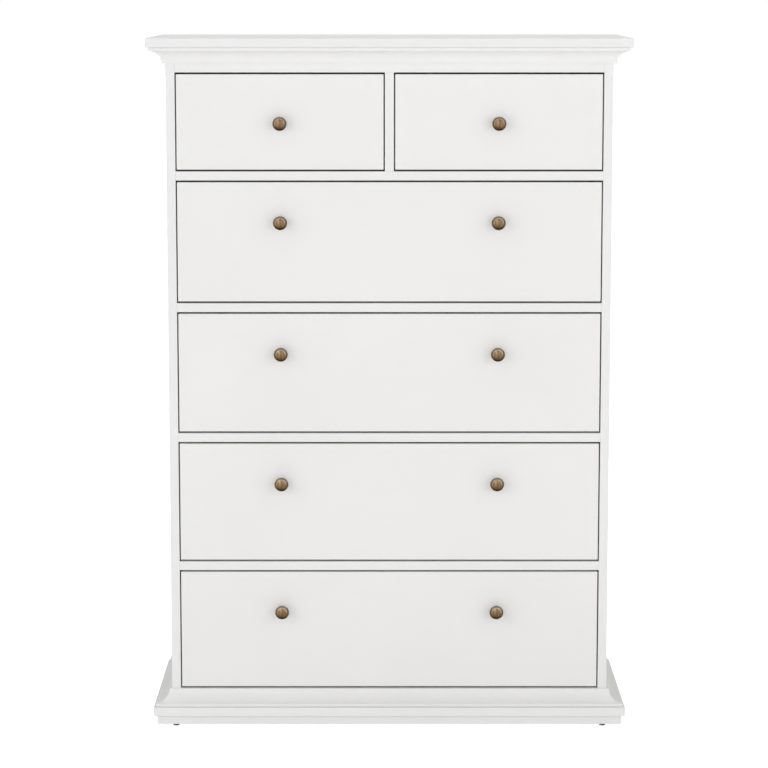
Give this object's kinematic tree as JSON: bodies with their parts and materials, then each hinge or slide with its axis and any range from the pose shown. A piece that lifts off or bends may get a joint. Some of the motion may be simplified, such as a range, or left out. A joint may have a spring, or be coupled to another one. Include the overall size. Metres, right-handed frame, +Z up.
{
  "type": "tall chest of drawers",
  "caption": "Tall free-standing chest with small drawers side by side above full-width ones, each on roller runners, in a panel carcass with cove mouldings at top and base.",
  "frame": {"origin": "on the floor, at the centre of the footprint of the top and base boards", "axes": "+X towards the right-hand side as seen from the front, +Y towards the back, +Z up; the drawers open along -Y"},
  "size_m": [0.96, 0.41, 1.394],
  "materials": {
    "white_board": "particle board faced with satin white foil, edges banded",
    "white_moulding": "fibreboard moulding wrapped in satin white foil",
    "white_front": "fibreboard drawer front, satin white foil with softly eased edges",
    "drawer_board": "drawer sides and backs of particle board in matt white paper foil",
    "white_hardboard": "hardboard with a white painted face",
    "brown_hardboard": "raw hardboard, screen side outwards",
    "aged_brass": "zinc knob with a brushed antique brass finish",
    "runner_steel": "folded steel sheet, white epoxy",
    "nylon": "moulded nylon",
    "dark_plastic": "moulded dark grey plastic"
  },
  "bodies": {
    "carcass": {"top_board": "white_board", "cornice_moulding": "white_moulding", "left_side_panel": "white_board", "right_side_panel": "white_board", "back_panel": "brown_hardboard", "centre_divider": "white_board", "cross_rails": "white_board", "base_board": "white_board", "base_moulding": "white_moulding", "base_frame": "white_board", "glide_feet": "dark_plastic", "cabinet_runners": "runner_steel"},
    "top_left_drawer": {"top_left_drawer_front": "white_front", "top_left_drawer_sides": "drawer_board", "top_left_drawer_back": "drawer_board", "top_left_drawer_bottom": "white_hardboard", "top_left_drawer_knobs": "aged_brass", "top_left_drawer_runners": "runner_steel"},
    "top_left_drawer_rear_rollers": {"top_left_drawer_rear_rollers": "nylon"},
    "top_left_drawer_front_rollers": {"top_left_drawer_front_rollers": "nylon"},
    "top_right_drawer": {"top_right_drawer_front": "white_front", "top_right_drawer_sides": "drawer_board", "top_right_drawer_back": "drawer_board", "top_right_drawer_bottom": "white_hardboard", "top_right_drawer_knobs": "aged_brass", "top_right_drawer_runners": "runner_steel"},
    "top_right_drawer_rear_rollers": {"top_right_drawer_rear_rollers": "nylon"},
    "top_right_drawer_front_rollers": {"top_right_drawer_front_rollers": "nylon"},
    "second_drawer": {"second_drawer_front": "white_front", "second_drawer_sides": "drawer_board", "second_drawer_back": "drawer_board", "second_drawer_bottom": "white_hardboard", "second_drawer_knobs": "aged_brass", "second_drawer_runners": "runner_steel"},
    "second_drawer_rear_rollers": {"second_drawer_rear_rollers": "nylon"},
    "second_drawer_front_rollers": {"second_drawer_front_rollers": "nylon"},
    "third_drawer": {"third_drawer_front": "white_front", "third_drawer_sides": "drawer_board", "third_drawer_back": "drawer_board", "third_drawer_bottom": "white_hardboard", "third_drawer_knobs": "aged_brass", "third_drawer_runners": "runner_steel"},
    "third_drawer_rear_rollers": {"third_drawer_rear_rollers": "nylon"},
    "third_drawer_front_rollers": {"third_drawer_front_rollers": "nylon"},
    "fourth_drawer": {"fourth_drawer_front": "white_front", "fourth_drawer_sides": "drawer_board", "fourth_drawer_back": "drawer_board", "fourth_drawer_bottom": "white_hardboard", "fourth_drawer_knobs": "aged_brass", "fourth_drawer_runners": "runner_steel"},
    "fourth_drawer_rear_rollers": {"fourth_drawer_rear_rollers": "nylon"},
    "fourth_drawer_front_rollers": {"fourth_drawer_front_rollers": "nylon"},
    "bottom_drawer": {"bottom_drawer_front": "white_front", "bottom_drawer_sides": "drawer_board", "bottom_drawer_back": "drawer_board", "bottom_drawer_bottom": "white_hardboard", "bottom_drawer_knobs": "aged_brass", "bottom_drawer_runners": "runner_steel"},
    "bottom_drawer_rear_rollers": {"bottom_drawer_rear_rollers": "nylon"},
    "bottom_drawer_front_rollers": {"bottom_drawer_front_rollers": "nylon"}
  },
  "joints": [
    {"name": "top_left_drawer_slide", "type": "slide", "parent": "carcass", "child": "top_left_drawer", "axis": [0, -1, 0], "range_m": [0, 0.26]},
    {"name": "top_left_drawer_rear_rollers_spin", "type": "hinge", "parent": "top_left_drawer", "child": "top_left_drawer_rear_rollers", "pos_m": [-0.2175, 0.179, 1.1488], "axis": [1, 0, 0], "continuous": true},
    {"name": "top_left_drawer_front_rollers_spin", "type": "hinge", "parent": "carcass", "child": "top_left_drawer_front_rollers", "pos_m": [-0.2175, -0.135, 1.155], "axis": [1, 0, 0], "continuous": true},
    {"name": "top_right_drawer_slide", "type": "slide", "parent": "carcass", "child": "top_right_drawer", "axis": [0, -1, 0], "range_m": [0, 0.26]},
    {"name": "top_right_drawer_rear_rollers_spin", "type": "hinge", "parent": "top_right_drawer", "child": "top_right_drawer_rear_rollers", "pos_m": [0.2175, 0.179, 1.1488], "axis": [1, 0, 0], "continuous": true},
    {"name": "top_right_drawer_front_rollers_spin", "type": "hinge", "parent": "carcass", "child": "top_right_drawer_front_rollers", "pos_m": [0.2175, -0.135, 1.155], "axis": [1, 0, 0], "continuous": true},
    {"name": "second_drawer_slide", "type": "slide", "parent": "carcass", "child": "second_drawer", "axis": [0, -1, 0], "range_m": [0, 0.26]},
    {"name": "second_drawer_rear_rollers_spin", "type": "hinge", "parent": "second_drawer", "child": "second_drawer_rear_rollers", "pos_m": [0, 0.179, 0.8848], "axis": [1, 0, 0], "continuous": true},
    {"name": "second_drawer_front_rollers_spin", "type": "hinge", "parent": "carcass", "child": "second_drawer_front_rollers", "pos_m": [0, -0.135, 0.891], "axis": [1, 0, 0], "continuous": true},
    {"name": "third_drawer_slide", "type": "slide", "parent": "carcass", "child": "third_drawer", "axis": [0, -1, 0], "range_m": [0, 0.26]},
    {"name": "third_drawer_rear_rollers_spin", "type": "hinge", "parent": "third_drawer", "child": "third_drawer_rear_rollers", "pos_m": [0, 0.179, 0.6208], "axis": [1, 0, 0], "continuous": true},
    {"name": "third_drawer_front_rollers_spin", "type": "hinge", "parent": "carcass", "child": "third_drawer_front_rollers", "pos_m": [0, -0.135, 0.627], "axis": [1, 0, 0], "continuous": true},
    {"name": "fourth_drawer_slide", "type": "slide", "parent": "carcass", "child": "fourth_drawer", "axis": [0, -1, 0], "range_m": [0, 0.26]},
    {"name": "fourth_drawer_rear_rollers_spin", "type": "hinge", "parent": "fourth_drawer", "child": "fourth_drawer_rear_rollers", "pos_m": [0, 0.179, 0.3568], "axis": [1, 0, 0], "continuous": true},
    {"name": "fourth_drawer_front_rollers_spin", "type": "hinge", "parent": "carcass", "child": "fourth_drawer_front_rollers", "pos_m": [0, -0.135, 0.363], "axis": [1, 0, 0], "continuous": true},
    {"name": "bottom_drawer_slide", "type": "slide", "parent": "carcass", "child": "bottom_drawer", "axis": [0, -1, 0], "range_m": [0, 0.26]},
    {"name": "bottom_drawer_rear_rollers_spin", "type": "hinge", "parent": "bottom_drawer", "child": "bottom_drawer_rear_rollers", "pos_m": [0, 0.179, 0.0928], "axis": [1, 0, 0], "continuous": true},
    {"name": "bottom_drawer_front_rollers_spin", "type": "hinge", "parent": "carcass", "child": "bottom_drawer_front_rollers", "pos_m": [0, -0.135, 0.099], "axis": [1, 0, 0], "continuous": true}
  ],
  "couplings": [
    {"joint": "top_left_drawer_rear_rollers_spin", "follows": "top_left_drawer_slide", "rad_per_m": 125},
    {"joint": "top_left_drawer_front_rollers_spin", "follows": "top_left_drawer_slide", "rad_per_m": 125},
    {"joint": "top_right_drawer_rear_rollers_spin", "follows": "top_right_drawer_slide", "rad_per_m": 125},
    {"joint": "top_right_drawer_front_rollers_spin", "follows": "top_right_drawer_slide", "rad_per_m": 125},
    {"joint": "second_drawer_rear_rollers_spin", "follows": "second_drawer_slide", "rad_per_m": 125},
    {"joint": "second_drawer_front_rollers_spin", "follows": "second_drawer_slide", "rad_per_m": 125},
    {"joint": "third_drawer_rear_rollers_spin", "follows": "third_drawer_slide", "rad_per_m": 125},
    {"joint": "third_drawer_front_rollers_spin", "follows": "third_drawer_slide", "rad_per_m": 125},
    {"joint": "fourth_drawer_rear_rollers_spin", "follows": "fourth_drawer_slide", "rad_per_m": 125},
    {"joint": "fourth_drawer_front_rollers_spin", "follows": "fourth_drawer_slide", "rad_per_m": 125},
    {"joint": "bottom_drawer_rear_rollers_spin", "follows": "bottom_drawer_slide", "rad_per_m": 125},
    {"joint": "bottom_drawer_front_rollers_spin", "follows": "bottom_drawer_slide", "rad_per_m": 125}
  ]
}
